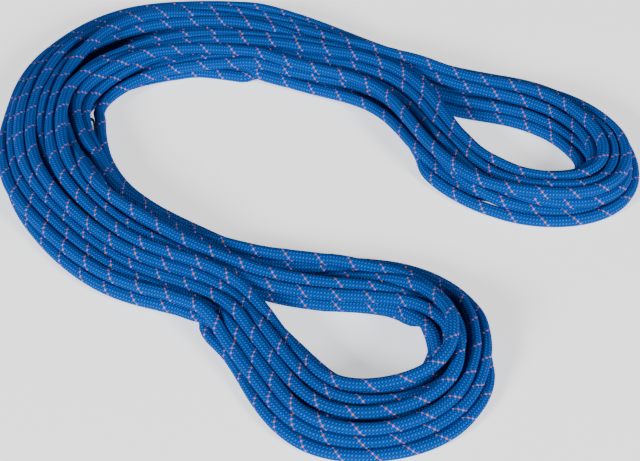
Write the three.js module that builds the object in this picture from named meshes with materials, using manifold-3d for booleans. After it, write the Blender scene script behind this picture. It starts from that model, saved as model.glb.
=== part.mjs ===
// A dynamic climbing rope laid in one open hank: closed turns squeezed into a fat C with a loop at each end.
// Millimetres, +Z up, the rope lies on z = 0.
import * as THREE from 'three';
import { mergeVertices } from 'three/addons/utils/BufferGeometryUtils.js';
import Module from 'manifold-3d';

const wasm = await Module();
wasm.setup();
const { Manifold, Mesh: SolidMesh, CrossSection } = wasm;

// Rope section
const ROPE_RADIUS = 9.5 / 2;
const SHEATH_THICKNESS = 1.0;
const CORE_STRANDS_AROUND = 6;
const CORE_STRAND_RADIUS = 1.0;
const CORE_ORBIT = 2.25;
const CORE_TWIST_PITCH = 45;
const TAPE_RADIUS = 3.4;
const TAPE_WIDTH = 1.4;
const TAPE_THICKNESS = 0.1;

// End fittings
const SLEEVE_INNER_RADIUS = ROPE_RADIUS + 0.3;
const SLEEVE_OUTER_RADIUS = ROPE_RADIUS + 0.6;
const SLEEVE_LENGTH = 48;
const SLEEVE_SETBACK = 4;
const CAP_THICKNESS = 2.4;
const GAP = 0.3;

// Hank
const TRACK_HALF_WIDTH = 26;
const HANK_HEIGHT = 32;
const EDGE_ROUNDING = 8;
const TRACK_STEP = 13;
const TRACK_OVERLAP = 0.01;
const SLOT_HALF_WIDTH = SLEEVE_OUTER_RADIUS + 0.5;
const BELOW_FLOOR = -1;

// Facets: sides round a section, steps along a line, and points that a line is drawn through.
const STRAND_SIDES = 6;
const SHEATH_SIDES = 12;
const SLEEVE_SIDES = 16;
const SLOT_SIDES = 20;
const CORNER_POINTS = 2;
const END_POINTS = 16;
const END_STEPS = 10;
const WINDING_POINTS = 30;
const WINDING_STEPS = 24;
const TAPE_STEPS = 12;
const SLEEVE_STEPS = 6;
const SLOT_STEPS = 12;

// Middle of the hank's box in the lists below, which becomes the origin.
const MIDDLE = [-1.3, 30.1];

// Middle line of the hank's turns, seen from above: the far loop's end, the outer side of the C, the near
// loop, then the inner side of the C back to the far loop.
const TURN = [
  [234, 61], [227, 97], [204, 125], [169, 147], [130, 153], [89, 167], [49, 187], [5, 212], [-30, 231],
  [-68, 246], [-110, 252], [-163, 248], [-204, 220], [-228, 181], [-235, 134], [-236, 88], [-227, 47],
  [-202, 10], [-170, -26], [-131, -56], [-94, -68], [-64, -90], [-43, -126], [-22, -160], [-1, -187],
  [31, -192], [63, -186], [88, -173], [101, -151], [102, -123], [94, -100], [78, -81], [52, -72],
  [11, -70], [-30, -66], [-72, -54], [-112, -28], [-157, 4], [-187, 44], [-206, 89], [-215, 126],
  [-206, 155], [-179, 180], [-144, 199], [-105, 206], [-66, 203], [-37, 195], [-10, 185], [23, 177],
  [56, 162], [78, 132], [91, 98], [107, 71], [123, 47], [145, 35], [170, 29], [198, 29], [223, 39],
];

// The rope's last stretches, each from the hank to its tip.
const TOP_END = [[-137, 2, 6], [-162, 28, 6], [-177, 57, 6], [-187, 89, 6], [-192, 121, 6]];
const BOTTOM_END = [[-143, 222, 5.5], [-109, 229, 5.5], [-74, 227, 5.5], [-39, 216, 5.5], [-8, 201, 5.5]];

const fabric = (name, colour) => new THREE.MeshStandardMaterial({ name, color: colour, roughness: 0.75 });
const SHEATH_BLUE = fabric('sheath_blue', 0x0a5aa5);
const CORE_WHITE = fabric('core_white', 0xe9e7df);
const film = (name, colour, roughness) => new THREE.MeshStandardMaterial({ name, color: colour, roughness });
const TAPE_RED = film('tape_red', 0xb03024, 0.4);
const SLEEVE_WHITE = film('sleeve_white', 0xe6e9ea, 0.3);
const FUSED_NYLON = film('fused_nylon', 0x0a3566, 0.35);

const part = new THREE.Group();
part.name = 'dynamic_climbing_rope';

function add(name, geometry, material) {
  const mesh = new THREE.Mesh(geometry, material);
  mesh.name = name;
  part.add(mesh);
}

function plain(geometry) {
  geometry.deleteAttribute('normal');
  geometry.deleteAttribute('uv');
  return mergeVertices(geometry, 1e-5);
}

function toSolid(geometry) {
  const welded = plain(geometry);
  return new Manifold(new SolidMesh({
    numProp: 3,
    vertProperties: new Float32Array(welded.attributes.position.array),
    triVerts: new Uint32Array(welded.index.array),
  }));
}

function toGeometry(solid) {
  const mesh = solid.getMesh();
  const geometry = new THREE.BufferGeometry();
  geometry.setAttribute('position', new THREE.BufferAttribute(new Float32Array(mesh.vertProperties), 3));
  geometry.setIndex(new THREE.BufferAttribute(new Uint32Array(mesh.triVerts), 1));
  geometry.computeVertexNormals();
  return geometry;
}

// The outer shape of all the strands on one side of the hank, swept along a share of the turn line.
function track(from, to) {
  const middles = TURN.map(([x, y]) => new THREE.Vector3(x - MIDDLE[0], y - MIDDLE[1], HANK_HEIGHT / 2));
  const turn = new THREE.CatmullRomCurve3(middles, true, 'catmullrom', 0.5);
  const long = turn.getLength();
  const steps = Math.round((long * (to - from)) / TRACK_STEP);
  const points = [];
  for (let step = 0; step <= steps; step += 1) {
    points.push(turn.getPointAt((from + ((to - from) * step) / steps) % 1));
  }
  const line = new THREE.CatmullRomCurve3(points);
  return toSolid(rodAlong(line, trackSection(), steps));
}

// Upright section of a track, its height along x: a box with round corners.
function trackSection() {
  const high = HANK_HEIGHT / 2 - EDGE_ROUNDING;
  const wide = TRACK_HALF_WIDTH - EDGE_ROUNDING;
  const shape = new THREE.Shape();
  shape.absarc(high, wide, EDGE_ROUNDING, 0, Math.PI / 2, false);
  shape.absarc(-high, wide, EDGE_ROUNDING, Math.PI / 2, Math.PI, false);
  shape.absarc(-high, -wide, EDGE_ROUNDING, Math.PI, 1.5 * Math.PI, false);
  shape.absarc(high, -wide, EDGE_ROUNDING, 1.5 * Math.PI, 2 * Math.PI, false);
  return new THREE.Shape(shape.getPoints(CORNER_POINTS));
}

// A straight-sided slot in the hank's underside round a rope end, with room for its sleeve.
function endSlot(end) {
  const high = end[0][2] + SLOT_HALF_WIDTH;
  const round = CrossSection.circle(SLOT_HALF_WIDTH, SLOT_SIDES);
  const points = endCurve(end).getSpacedPoints(SLOT_STEPS);
  const reach = points.map((point) => round.translate([point.x, point.y]));
  const lengths = reach.slice(1).map((circle, index) => CrossSection.hull([reach[index], circle]));
  return CrossSection.union(lengths).extrude(high - BELOW_FLOOR).translate([0, 0, BELOW_FLOOR]);
}

function endCurve(end) {
  const points = end.map(([x, y, z]) => new THREE.Vector3(x - MIDDLE[0], y - MIDDLE[1], z));
  return new THREE.CatmullRomCurve3(points, false, 'catmullrom', 0.5);
}

// The part of a rope end's line from one length to another, measured from the hank.
function stretch(end, from, to, steps) {
  const curve = endCurve(end);
  const long = curve.getLength();
  const points = [];
  for (let step = 0; step <= steps; step += 1) {
    points.push(curve.getPointAt((from + ((to - from) * step) / steps) / long));
  }
  return new THREE.CatmullRomCurve3(points);
}

function circle(radius, sides) {
  const points = [];
  for (let side = 0; side < sides; side += 1) {
    const angle = (2 * Math.PI * side) / sides;
    points.push(new THREE.Vector2(radius * Math.cos(angle), radius * Math.sin(angle)));
  }
  return points;
}

function hoseAlong(line, outerRadius, innerRadius, sides, steps) {
  const shape = new THREE.Shape(circle(outerRadius, sides));
  shape.holes.push(new THREE.Path(circle(innerRadius, sides).reverse()));
  return plain(new THREE.ExtrudeGeometry(shape, { steps, extrudePath: line, bevelEnabled: false }));
}

// A strand that winds round the rope's middle line at the given distance from it.
function windingLine(line, orbit, phase, steps) {
  const points = [];
  const long = line.getLength();
  for (let step = 0; step <= steps; step += 1) {
    const share = step / steps;
    const centre = line.getPointAt(share);
    const along = line.getTangentAt(share);
    const side = new THREE.Vector3(-along.y, along.x, 0).normalize();
    const up = new THREE.Vector3().crossVectors(along, side);
    const angle = phase + (2 * Math.PI * long * share) / CORE_TWIST_PITCH;
    centre.addScaledVector(side, orbit * Math.cos(angle));
    centre.addScaledVector(up, orbit * Math.sin(angle));
    points.push(centre);
  }
  return new THREE.CatmullRomCurve3(points);
}

function rodAlong(line, shape, steps) {
  return plain(new THREE.ExtrudeGeometry(shape, { steps, extrudePath: line, bevelEnabled: false }));
}

// Heat-fused tip: a shallow dome that closes the cut.
function fusedTip(end) {
  const profile = [
    [0, 0],
    [ROPE_RADIUS - 0.15, 0],
    [ROPE_RADIUS, CAP_THICKNESS * 0.45],
    [ROPE_RADIUS * 0.8, CAP_THICKNESS * 0.85],
    [0, CAP_THICKNESS],
  ];
  const geometry = new THREE.LatheGeometry(profile.map(([x, y]) => new THREE.Vector2(x, y)), SLEEVE_SIDES);
  const curve = endCurve(end);
  const outward = curve.getTangentAt(1);
  geometry.applyQuaternion(new THREE.Quaternion().setFromUnitVectors(new THREE.Vector3(0, 1, 0), outward));
  const tip = curve.getPointAt(1).addScaledVector(outward, GAP);
  geometry.translate(tip.x, tip.y, tip.z);
  return plain(geometry);
}

// Everything at one rope end: sheath, core strands, marker tape, sleeve and fused tip.
function addRopeEnd(name, end) {
  const long = endCurve(end).getLength();
  const whole = stretch(end, 0, long, END_POINTS);
  const sheathInner = ROPE_RADIUS - SHEATH_THICKNESS;
  add(`${name}_sheath`, hoseAlong(whole, ROPE_RADIUS, sheathInner, SHEATH_SIDES, END_STEPS), SHEATH_BLUE);
  const strand = new THREE.Shape(circle(CORE_STRAND_RADIUS, STRAND_SIDES));
  add(`${name}_core_strand_middle`, rodAlong(whole, strand, END_STEPS), CORE_WHITE);
  for (let index = 0; index < CORE_STRANDS_AROUND; index += 1) {
    const phase = (2 * Math.PI * index) / CORE_STRANDS_AROUND;
    const line = windingLine(whole, CORE_ORBIT, phase, WINDING_POINTS);
    add(`${name}_core_strand_${index + 1}`, rodAlong(line, strand, WINDING_STEPS), CORE_WHITE);
  }
  const tape = new THREE.Shape([
    new THREE.Vector2(-TAPE_THICKNESS / 2, -TAPE_WIDTH / 2),
    new THREE.Vector2(TAPE_THICKNESS / 2, -TAPE_WIDTH / 2),
    new THREE.Vector2(TAPE_THICKNESS / 2, TAPE_WIDTH / 2),
    new THREE.Vector2(-TAPE_THICKNESS / 2, TAPE_WIDTH / 2),
  ]);
  const upside = new THREE.CatmullRomCurve3(
    whole.getSpacedPoints(END_POINTS).map((point) => point.add(new THREE.Vector3(0, 0, TAPE_RADIUS))),
  );
  add(`${name}_marker_tape`, rodAlong(upside, tape, TAPE_STEPS), TAPE_RED);
  const sleeveEnd = long - SLEEVE_SETBACK;
  const sleeve = stretch(end, sleeveEnd - SLEEVE_LENGTH, sleeveEnd, SLEEVE_STEPS);
  const sleeveShell = hoseAlong(sleeve, SLEEVE_OUTER_RADIUS, SLEEVE_INNER_RADIUS, SLEEVE_SIDES, SLEEVE_STEPS);
  add(`${name}_sleeve`, sleeveShell, SLEEVE_WHITE);
  add(`${name}_fused_tip`, fusedTip(end), FUSED_NYLON);
}

// Two half rings that overlap a little join into one closed ring.
const hank = track(0, 0.5).add(track(0.5 - TRACK_OVERLAP, 1 + TRACK_OVERLAP))
  .subtract(endSlot(TOP_END))
  .subtract(endSlot(BOTTOM_END));
add('rope_hank', toGeometry(hank), SHEATH_BLUE);
addRopeEnd('top_end', TOP_END);
addRopeEnd('bottom_end', BOTTOM_END);

export default part;
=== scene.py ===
"""A dynamic climbing rope in an open C-shaped hank: one rope laid turn on turn, let fall, and dressed."""

import math

import bpy
import numpy as np
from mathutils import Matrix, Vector


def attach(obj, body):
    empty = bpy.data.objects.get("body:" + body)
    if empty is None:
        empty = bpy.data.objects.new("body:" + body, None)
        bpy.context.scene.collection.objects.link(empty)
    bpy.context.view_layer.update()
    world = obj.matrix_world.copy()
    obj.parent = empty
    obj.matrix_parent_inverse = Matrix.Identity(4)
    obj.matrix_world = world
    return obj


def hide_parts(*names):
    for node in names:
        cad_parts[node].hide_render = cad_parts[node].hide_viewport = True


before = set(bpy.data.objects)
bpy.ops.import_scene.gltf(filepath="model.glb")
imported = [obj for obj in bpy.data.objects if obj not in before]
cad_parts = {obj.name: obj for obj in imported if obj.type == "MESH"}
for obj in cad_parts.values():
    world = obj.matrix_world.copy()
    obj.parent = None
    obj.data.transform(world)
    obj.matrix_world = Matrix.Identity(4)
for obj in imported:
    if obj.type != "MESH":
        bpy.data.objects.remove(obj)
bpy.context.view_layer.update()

MM = 0.001

# Rope
DIAMETER = 9.5
RADIUS = DIAMETER / 2
SLEEVE_EXTRA = 0.6
SLEEVE_REACH = 60
RING_STEP = 4.5
RING_SIDES = 12
LINE_POINTS = 8

# Middle of the hank's box in the lists below, which is the row's origin.
MIDDLE = np.array([-1.3, 30.1, 0.0])

# Middle line of the turns, seen from above: the far loop's end, the outer side of the C, the near loop,
# then the inner side of the C back to the far loop. Each place also has the track's width there, as a share
# of its usual width.
TURN = [
    (234, 61, 0.9), (227, 97, 0.8), (204, 125, 0.65), (169, 147, 0.9), (130, 153, 1.1), (89, 167, 1.0),
    (49, 187, 1.0), (5, 212, 1.0), (-30, 231, 1.0), (-68, 246, 1.0), (-110, 252, 1.0), (-163, 248, 1.0),
    (-204, 220, 1.0), (-228, 181, 1.0), (-235, 134, 1.0), (-236, 88, 1.0), (-227, 47, 1.0), (-202, 10, 1.0),
    (-170, -26, 1.0), (-131, -56, 0.95), (-94, -68, 0.95), (-64, -90, 0.85), (-43, -126, 0.9),
    (-22, -160, 1.25), (-1, -187, 1.45), (31, -192, 1.6), (63, -186, 1.4), (88, -173, 1.1),
    (101, -151, 0.85), (102, -123, 0.8), (94, -100, 1.1), (78, -81, 1.25), (52, -72, 1.45),
    (11, -70, 1.4), (-30, -66, 1.2), (-72, -54, 1.0),
    (-112, -28, 1.0), (-157, 4, 1.0), (-187, 44, 1.0), (-206, 89, 1.0), (-215, 126, 1.0), (-206, 155, 1.0),
    (-179, 180, 1.0), (-144, 199, 1.0), (-105, 206, 1.0), (-66, 203, 1.0), (-37, 195, 1.0), (-10, 185, 1.0),
    (23, 177, 1.0), (56, 162, 1.0), (78, 132, 1.0), (91, 98, 1.05), (107, 71, 1.1), (123, 47, 1.2),
    (145, 35, 1.3), (170, 29, 1.5), (198, 29, 1.6), (223, 39, 1.4),
]

# The rope's last stretches, each from the hank to its tip.
TOP_END = [(-137, 2, 6), (-162, 28, 6), (-177, 57, 6), (-187, 89, 6), (-192, 121, 6)]
BOTTOM_END = [(-143, 222, 5.5), (-109, 229, 5.5), (-74, 227, 5.5), (-39, 216, 5.5), (-8, 201, 5.5)]

# How the turns wander across their track: at each of STATIONS places round the turn, every turn takes a lane
# of its own, DRIFT waves per turn moves them over slowly, and SHUFFLE lets neighbours change places. The
# lanes reach TRACK_REACH diameters to either side. Each end is led to its lane over JOIN_LENGTH.
LAY_STEP = 2.0
WHOLE_TURNS = 11
STATIONS = 8
DRIFT = 0.382
SHUFFLE = 1.0
TRACK_REACH = 1.5
SEED = 5
LIFT_PER_TURN = 0.85 * DIAMETER
JOIN_LENGTH = 350
ROUNDING = 24

# Settling. Each round the rope falls, less and less, is pushed apart, and is stiffened but for the last few
# rounds. Close pairs of places are listed afresh every PAIRING_ROUNDS. Strands within about CROSSING of each
# other, seen from above, are a crossing: there the upper one is pushed as if it were at least LEAST_CLIMB
# above the lower. The last TUCKED_LENGTH of rope goes under what it crosses.
BEAD_STEP = 6.0
ROUNDS = 500
FALL = 1.25
HOLD = 0.015
PUSHES = 2
PUSH_SHARE = 1.6
STIFFENING = 10
LOOSE_ROUNDS = 4
TUCKED_LENGTH = 300
PAIRING_ROUNDS = 20
PAIR_REACH = 1.9 * DIAMETER
NEIGHBOURS = 4
PAIRING_ROWS = 500
CROSSING = 0.6 * DIAMETER
LEAST_CLIMB = 0.3 * DIAMETER

# Braid: the tracer winds once in PITCH, with CROSSINGS yarns each way round the rope. Every float, where a
# yarn lies on top, has a height from 0 at its edges to 1 in its middle, which is FLOAT_RELIEF millimetres.
# FLOAT_ENDS below 1 makes its ends blunt.
PITCH = 24.6
CROSSINGS = 10
FLOAT_ENDS = 0.4
FLOAT_RELIEF = 0.35
BRAID_ROUGHNESS = 0.7
BRAID_SHINE = 0.05

# Colours of the braid, with light and shade painted in: a float goes from the painted shade of the gap to its
# own colour between the heights given here, and a float of the tracer has its colour from TRACER_FROM up. The
# blue floats are all one yarn colour, painted in shade where they run one way and painted highlit where they
# run the other way. The tracer's two colours repeat every TRACER_REPEAT crossings, orange first.
SHADED_FLOAT_FROM = 0.1
HIGHLIT_FLOAT_FROM = 0.2
FULL_BLUE_AT = 0.9
TRACER_FROM = 0.3
TRACER_REPEAT = 4.0
TRACER_ORANGE_BELOW = 1.5
# Painted shade in the gaps between floats, then one blue painted in shade and the same blue painted highlit.
GAP_SHADE_BLUE = (0.0, 0.028, 0.17)
SHADED_FLOAT_BLUE = (0.0, 0.048, 0.28)
HIGHLIT_FLOAT_BLUE = (0.0, 0.12, 0.50)
TRACER_ORANGE = (0.48, 0.15, 0.10)
TRACER_PINK = (0.36, 0.14, 0.48)

# Finishes of the pieces at the ends, by a word in their names: the material's name, two colours that mix,
# roughness and size of the grain.
FINISHES = {
    "core_strand": ("core_yarn", (0.75, 0.73, 0.68), (0.86, 0.85, 0.81), 0.8, 0.6),
    "marker_tape": ("marker_tape", (0.40, 0.03, 0.02), (0.47, 0.05, 0.03), 0.4, 2.0),
    "sleeve": ("shrunk_film", (0.62, 0.66, 0.69), (0.84, 0.87, 0.89), 0.25, 4.0),
    "fused_tip": ("fused_nylon", (0.003, 0.03, 0.10), (0.008, 0.06, 0.18), 0.3, 1.0),
}

# Studio, in metres and watts
FLOOR_SIZE = 12
FLOOR_WHITE = (0.93, 0.93, 0.93, 1)
FLOOR_GLOW = 0.8
FLOOR_ROUGHNESS = 0.9
WORLD_GLOW = 0.05
SOFTBOX_SIZE = 1.2
SOFTBOXES = (("right_softbox", (3.6, -3.0, 2.2), 375), ("left_softbox", (-3.6, -3.0, 2.2), 415))
WHITE = (1, 1, 1, 1)

# Camera
LENS = 87.2
SENSOR_WIDTH = 36
AWAY = 1207
LOOKING_DOWN = math.radians(45)


def spline(points, closed=False, fine=20):
    """A smooth line through given points."""
    known = np.array(points, float)
    if closed:
        before, here, after, beyond = (np.roll(known, turn, 0) for turn in (1, 0, -1, -2))
    else:
        longer = np.vstack([2 * known[0] - known[1], known, 2 * known[-1] - known[-2]])
        before, here, after, beyond = longer[:-3], longer[1:-2], longer[2:-1], longer[3:]
    t = np.linspace(0, 1, fine, endpoint=False)[:, None, None]
    line = 0.5 * (
        2 * here
        + (after - before) * t
        + (2 * before - 5 * here + 4 * after - beyond) * t**2
        + (3 * here - before - 3 * after + beyond) * t**3
    )
    line = line.transpose(1, 0, 2).reshape(-1, known.shape[1])
    return np.vstack([line, known[:1] if closed else known[-1:]])


def distances(line):
    steps = np.linalg.norm(np.diff(line, axis=0), axis=1)
    return np.concatenate([[0.0], np.cumsum(steps)])


def evenly(line, step):
    """The same line in equal steps of about the given length."""
    along = distances(line)
    wanted = np.linspace(0, along[-1], max(2, round(along[-1] / step) + 1))
    return np.stack([np.interp(wanted, along, line[:, k]) for k in range(line.shape[1])], 1)


def ease(share):
    """Smooth start and stop for a share that goes from 0 to 1."""
    share = np.clip(share, 0, 1)
    return share * share * (3 - 2 * share)


def soften(values):
    """Moves each inner row, in place, half way to the middle of its neighbours."""
    values[1:-1] = 0.5 * values[1:-1] + 0.25 * (values[2:] + values[:-2])


def lanes_at(turns):
    """Where across the track the rope runs, in diameters, after so many turns."""
    rows = WHOLE_TURNS + 2
    chance = np.random.default_rng(SEED).uniform(-1, 1, (rows, STATIONS))
    when = np.arange(rows)[:, None] + np.arange(STATIONS)[None, :] / STATIONS
    wish = np.sin(math.tau * DRIFT * when) + SHUFFLE * chance
    rank = np.argsort(np.argsort(wish, axis=0), axis=0)
    lane = TRACK_REACH * (2 * rank / (rows - 1) - 1)
    smooth = spline(lane.reshape(-1, 1))[:, 0]
    return np.interp(turns, np.linspace(0, rows - 1 / STATIONS, len(smooth)), smooth)


def track_line():
    """The turns' middle line in even steps: places seen from above, directions to its left, and widths."""
    track = evenly(spline(TURN, closed=True), LAY_STEP)[:-1]
    ring, width = track[:, :2], track[:, 2]
    heading = np.roll(ring, -1, 0) - np.roll(ring, 1, 0)
    heading /= np.linalg.norm(heading, axis=1)[:, None]
    return ring, np.stack([-heading[:, 1], heading[:, 0]], 1), width


def nearest(ring, place):
    return int(np.argmin(np.linalg.norm(ring - place[:2], axis=1)))


def lead_to_ends(line, start, stop):
    """Leads both ends of the line over to the given places and rounds its corners."""
    along = np.arange(len(line)) * LAY_STEP / JOIN_LENGTH
    line += (start - line[0]) * (1 - ease(along))[:, None]
    line += (stop - line[-1]) * (1 - ease(along[::-1]))[:, None]
    line = evenly(line, BEAD_STEP)
    for _ in range(ROUNDING):
        soften(line)
    return line


def first_lay():
    """The rope turn on turn, each wandering across the track and a little higher than the last.
    Also says which points are held still: the two ends, which lie where the CAD ends do."""
    ring, left, width = track_line()
    count = len(ring)
    half = count // 2
    bottom = evenly(spline(BOTTOM_END[::-1]), BEAD_STEP)
    top = evenly(spline(TOP_END), BEAD_STEP)
    first = nearest(ring[:half], bottom[-1])
    last = half + nearest(ring[half:], top[0])
    index = np.arange(first, last + count * WHOLE_TURNS)
    turn = (index - first) / count
    lane = lanes_at(turn + first / count) * DIAMETER * width[index % count]
    flat = ring[index % count] + left[index % count] * lane[:, None]
    line = np.column_stack([flat, RADIUS + turn * LIFT_PER_TURN])
    line = lead_to_ends(line, bottom[-1], top[0])
    route = np.vstack([bottom, line[1:-1], top])
    held = np.zeros(len(route), bool)
    held[: len(bottom)] = True
    held[-len(top):] = True
    return route, held


def close_pairs(points):
    """Index pairs of points within PAIR_REACH of each other that aren't near neighbours along the rope."""
    small = points.astype(np.float32)
    first, second = [], []
    for low in range(0, len(small), PAIRING_ROWS):
        gap = small[low:low + PAIRING_ROWS, None, :] - small[None, low:, :]
        near = np.einsum("ijk,ijk->ij", gap, gap) < PAIR_REACH * PAIR_REACH
        i, j = np.nonzero(near)
        apart = j - i > NEIGHBOURS
        first.append(i[apart] + low)
        second.append(j[apart] + low)
    return np.concatenate(first), np.concatenate(second)


def half_thicknesses(count):
    """Half the rope's thickness at each point, more where a sleeve is round it."""
    half_thick = np.full(count, RADIUS)
    sleeved = round(SLEEVE_REACH / BEAD_STEP)
    half_thick[:sleeved] += SLEEVE_EXTRA
    half_thick[-sleeved:] += SLEEVE_EXTRA
    return half_thick


def settle(start, held):
    """Lets the rope fall on the floor and on itself. Its strands push one another a diameter apart,
    it bends as a stiff cord does, and friction keeps it near the lane where it was laid. A strand laid
    later stays above an earlier one, but the last stretch is tucked under everything that it crosses."""
    points = start.copy()
    free = ~held
    count = len(points)
    half_thick = half_thicknesses(count)
    tucked = round(TUCKED_LENGTH / BEAD_STEP)
    for turn in range(ROUNDS):
        if turn % PAIRING_ROUNDS == 0:
            a, b = close_pairs(points)
            under = b >= count - tucked
            a, b = np.where(under, b, a), np.where(under, a, b)
            room = half_thick[a] + half_thick[b]
            laid = (start[b] - start[a])[:, :2]
        points[free, 2] -= FALL * (1 - turn / ROUNDS)
        points[free, :2] += HOLD * (start[free, :2] - points[free, :2])
        for _ in range(PUSHES):
            push_apart(points, a, b, room, laid, free)
            points[:, 2] = np.maximum(points[:, 2], RADIUS)
        if turn < ROUNDS - LOOSE_ROUNDS:
            for _ in range(STIFFENING):
                moved = points - start
                soften(moved)
                points = np.where(free[:, None], start + moved, start)
            points[:, 2] = np.maximum(points[:, 2], RADIUS)
    return points


def push_apart(points, a, b, room, laid, free):
    """Pushes touching strands apart. Where strand b was laid over strand a, b stays on top."""
    gap = points[b] - points[a]
    over_it = (gap[:, :2] * laid).sum(1) < CROSSING**2
    gap[:, 2] = np.where(over_it, np.maximum(gap[:, 2], 0), gap[:, 2])
    over = np.maximum(room - np.sqrt((gap * gap).sum(1)), 0)
    gap[:, 2] = np.where(over_it, np.maximum(gap[:, 2], LEAST_CLIMB), gap[:, 2])
    push = gap * (over * 0.5 / np.maximum(np.sqrt((gap * gap).sum(1)), 1e-6))[:, None]
    touching = (over > 0).astype(float)
    count = len(points)
    touches = np.maximum(np.bincount(a, touching, count) + np.bincount(b, touching, count), 1)
    for k in range(3):
        move = np.bincount(b, push[:, k], count) - np.bincount(a, push[:, k], count)
        points[:, k] += np.where(free, PUSH_SHARE * move / touches, 0)


def carried_sides(line):
    """A side direction at each point, carried along the line without twisting."""
    heading = np.gradient(line, axis=0)
    heading /= np.linalg.norm(heading, axis=1)[:, None]
    side = np.cross(heading[0], (0.0, 0.0, 1.0))
    sides = []
    for direction in heading:
        side = side - direction * side.dot(direction)
        side = side / np.linalg.norm(side)
        sides.append(side)
    sides = np.array(sides)
    return sides, np.cross(heading, sides)


def rope_mesh(line):
    """The rope's skin with a map of turns of the tracer along it and of shares round it."""
    across, over = carried_sides(line)
    angle = math.tau * np.arange(RING_SIDES) / RING_SIDES
    ring = np.cos(angle)[None, :, None] * across[:, None, :] + np.sin(angle)[None, :, None] * over[:, None, :]
    skin = (line[:, None, :] + RADIUS * ring).reshape(-1, 3)
    count = len(line)
    faces = []
    places = []
    along = distances(line) / PITCH
    for i in range(count - 1):
        for j in range(RING_SIDES):
            k = (j + 1) % RING_SIDES
            low, high = i * RING_SIDES, (i + 1) * RING_SIDES
            faces.append((low + j, low + k, high + k, high + j))
            v, w = j / RING_SIDES, (j + 1) / RING_SIDES
            places += [(along[i], v), (along[i], w), (along[i + 1], w), (along[i + 1], v)]
    last = (count - 1) * RING_SIDES
    faces.append(tuple(reversed(range(RING_SIDES))))
    faces.append(tuple(last + j for j in range(RING_SIDES)))
    places += [(0.0, 0.0)] * (2 * RING_SIDES)
    mesh = bpy.data.meshes.new("climbing_rope")
    mesh.from_pydata((skin * MM).tolist(), [], faces)
    chart = mesh.uv_layers.new(name="braid")
    chart.data.foreach_set("uv", np.array(places, dtype=np.float32).ravel())
    mesh.polygons.foreach_set("use_smooth", [True] * len(mesh.polygons))
    mesh.update()
    return mesh


class Nodes:
    """Short ways to build a material's node tree."""

    def __init__(self, name):
        self.material = bpy.data.materials.new(name)
        self.material.use_nodes = True
        self.tree = self.material.node_tree
        self.shader = next(n for n in self.tree.nodes if n.type == "BSDF_PRINCIPLED")

    def node(self, kind, **settings):
        made = self.tree.nodes.new(kind)
        for key, value in settings.items():
            setattr(made, key, value)
        return made

    def link(self, source, target):
        self.tree.links.new(source, target)

    def math(self, operation, first, second=None):
        made = self.node("ShaderNodeMath", operation=operation)
        for socket, value in zip(made.inputs, (first, second)):
            if isinstance(value, (int, float)):
                socket.default_value = value
            elif value is not None:
                self.link(value, socket)
        return made.outputs[0]

    def mix(self, share, first, second):
        """Two colours mixed, each a plain colour or another node's output."""
        made = self.node("ShaderNodeMix", data_type="RGBA")
        self.link(share, made.inputs["Factor"])
        for socket, value in ((made.inputs["A"], first), (made.inputs["B"], second)):
            if isinstance(value, tuple):
                socket.default_value = (*value, 1.0)
            else:
                self.link(value, socket)
        return made.outputs["Result"]

    def blend(self, share, first, second):
        """Two plain values mixed."""
        made = self.node("ShaderNodeMix", data_type="FLOAT")
        for socket, value in (("Factor", share), ("A", first), ("B", second)):
            self.link(value, made.inputs[socket])
        return made.outputs["Result"]

    def span(self, value, low, high):
        """How far the value has come from low to high, from 0 to 1."""
        made = self.node("ShaderNodeMapRange")
        made.inputs["From Min"].default_value = low
        made.inputs["From Max"].default_value = high
        self.link(value, made.inputs["Value"])
        return made.outputs[0]

    def bump(self, height, distance):
        made = self.node("ShaderNodeBump")
        made.inputs["Distance"].default_value = distance
        self.link(height, made.inputs["Height"])
        self.link(made.outputs[0], self.shader.inputs["Normal"])


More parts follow.
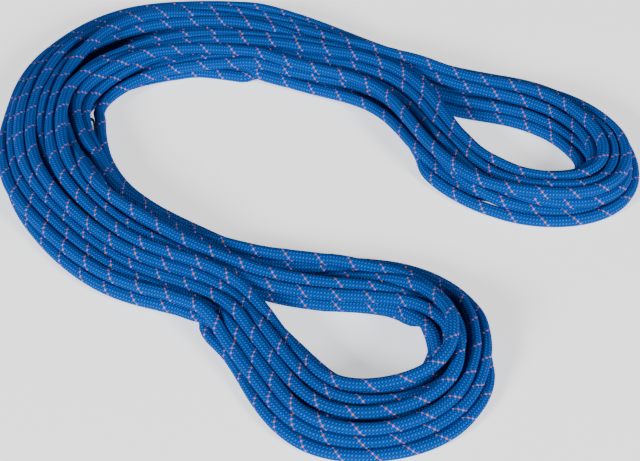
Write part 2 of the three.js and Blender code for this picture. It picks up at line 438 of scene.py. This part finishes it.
def braid_material():
    """One-over-one braid of one blue with light and shade painted in: painted shade in the gaps and at the
    edges of the floats, floats one way painted in shade, the other way painted highlit, and one tracer yarn.
    """
    n = Nodes("braided_sheath")
    chart = n.node("ShaderNodeUVMap", uv_map="braid")
    split = n.node("ShaderNodeSeparateXYZ")
    n.link(chart.outputs[0], split.inputs[0])
    along, round_it = split.outputs[0], split.outputs[1]
    one_way = n.math("MULTIPLY", n.math("ADD", round_it, along), CROSSINGS)
    other_way = n.math("MULTIPLY", n.math("SUBTRACT", round_it, along), CROSSINGS)
    one_index, other_index = n.math("FLOOR", one_way), n.math("FLOOR", other_way)
    parity = n.math("FLOORED_MODULO", n.math("ADD", one_index, other_index), 2.0)
    across_one = n.math("SINE", n.math("MULTIPLY", n.math("FRACT", one_way), math.pi))
    across_other = n.math("SINE", n.math("MULTIPLY", n.math("FRACT", other_way), math.pi))
    across, lengthwise = n.blend(parity, across_one, across_other), n.blend(parity, across_other, across_one)
    height = n.math("MULTIPLY", across, n.math("POWER", lengthwise, FLOAT_ENDS))
    # Painted shade: each float darkens towards its edges to the painted shade of the gap. Painted light:
    # floats that run one way are painted in shade, those that run the other way painted highlit.
    shaded_floats = n.mix(n.span(height, SHADED_FLOAT_FROM, FULL_BLUE_AT), GAP_SHADE_BLUE, SHADED_FLOAT_BLUE)
    highlit_floats = n.mix(n.span(height, HIGHLIT_FLOAT_FROM, FULL_BLUE_AT), GAP_SHADE_BLUE, HIGHLIT_FLOAT_BLUE)
    blue = n.mix(parity, highlit_floats, shaded_floats)
    place = n.math("FLOORED_MODULO", one_index, TRACER_REPEAT)
    warm = n.mix(n.math("LESS_THAN", place, TRACER_ORANGE_BELOW), TRACER_PINK, TRACER_ORANGE)
    tracer = n.math("LESS_THAN", n.math("FLOORED_MODULO", other_index, float(CROSSINGS)), 0.5)
    shown = n.math("MULTIPLY", tracer, parity)
    shown = n.math("MULTIPLY", shown, n.math("GREATER_THAN", height, TRACER_FROM))
    colour = n.mix(shown, blue, warm)
    n.link(colour, n.shader.inputs["Base Color"])
    n.shader.inputs["Roughness"].default_value = BRAID_ROUGHNESS
    n.shader.inputs["Specular IOR Level"].default_value = BRAID_SHINE
    n.bump(height, FLOAT_RELIEF * MM)
    return n.material


def speckled(name, low, high, roughness, grain):
    """A plain finish with a faint grain of the given size."""
    n = Nodes(name)
    place = n.node("ShaderNodeTexCoord")
    noise = n.node("ShaderNodeTexNoise")
    noise.inputs["Scale"].default_value = 1 / (grain * MM)
    n.link(place.outputs["Object"], noise.inputs["Vector"])
    n.link(n.mix(noise.outputs[0], low, high), n.shader.inputs["Base Color"])
    n.shader.inputs["Roughness"].default_value = roughness
    return n.material


def dress(node, material):
    node.data.materials.clear()
    node.data.materials.append(material)


def make_rope():
    """The whole rope as one skin, in place of the CAD hank and both sheaths."""
    route, held = first_lay()
    route = settle(route, held)
    line = evenly(spline(route - MIDDLE, fine=LINE_POINTS), RING_STEP)
    rope = bpy.data.objects.new("climbing_rope", rope_mesh(line))
    bpy.context.scene.collection.objects.link(rope)
    rope.data.materials.append(braid_material())
    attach(rope, "root")
    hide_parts("rope_hank", "top_end_sheath", "bottom_end_sheath")


def dress_ends():
    finishes = {word: speckled(*finish) for word, finish in FINISHES.items()}
    for name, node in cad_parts.items():
        for word, material in finishes.items():
            if word in name:
                dress(node, material)


def floor():
    bpy.ops.mesh.primitive_plane_add(size=FLOOR_SIZE)
    plane = bpy.context.object
    plane.name = "floor"
    n = Nodes("floor")
    n.shader.inputs["Base Color"].default_value = FLOOR_WHITE
    n.shader.inputs["Emission Color"].default_value = WHITE
    n.shader.inputs["Emission Strength"].default_value = FLOOR_GLOW
    n.shader.inputs["Roughness"].default_value = FLOOR_ROUGHNESS
    plane.data.materials.append(n.material)


def soft_light(name, place, watts):
    """A square softbox turned to the middle of the hank."""
    lamp = bpy.data.lights.new(name, "AREA")
    lamp.energy = watts
    lamp.size = SOFTBOX_SIZE
    light = bpy.data.objects.new(name, lamp)
    light.location = place
    light.rotation_euler = (-Vector(place)).to_track_quat("-Z", "Y").to_euler()
    bpy.context.scene.collection.objects.link(light)


def studio():
    world = bpy.data.worlds.new("studio")
    world.use_nodes = True
    backdrop = world.node_tree.nodes["Background"]
    backdrop.inputs["Color"].default_value = WHITE
    backdrop.inputs["Strength"].default_value = WORLD_GLOW
    bpy.context.scene.world = world
    for name, place, watts in SOFTBOXES:
        soft_light(name, place, watts)


def camera():
    """Looks down at the hank from the front, half way between level and overhead."""
    view = bpy.data.cameras.new("camera")
    view.lens = LENS
    view.sensor_width = SENSOR_WIDTH
    aim = Vector(-MIDDLE) * MM
    eye = bpy.data.objects.new("camera", view)
    eye.location = aim + AWAY * MM * Vector((0, -math.cos(LOOKING_DOWN), math.sin(LOOKING_DOWN)))
    eye.rotation_euler = (aim - eye.location).to_track_quat("-Z", "Y").to_euler()
    bpy.context.scene.collection.objects.link(eye)
    bpy.context.scene.camera = eye


camera()
make_rope()
dress_ends()
floor()
studio()
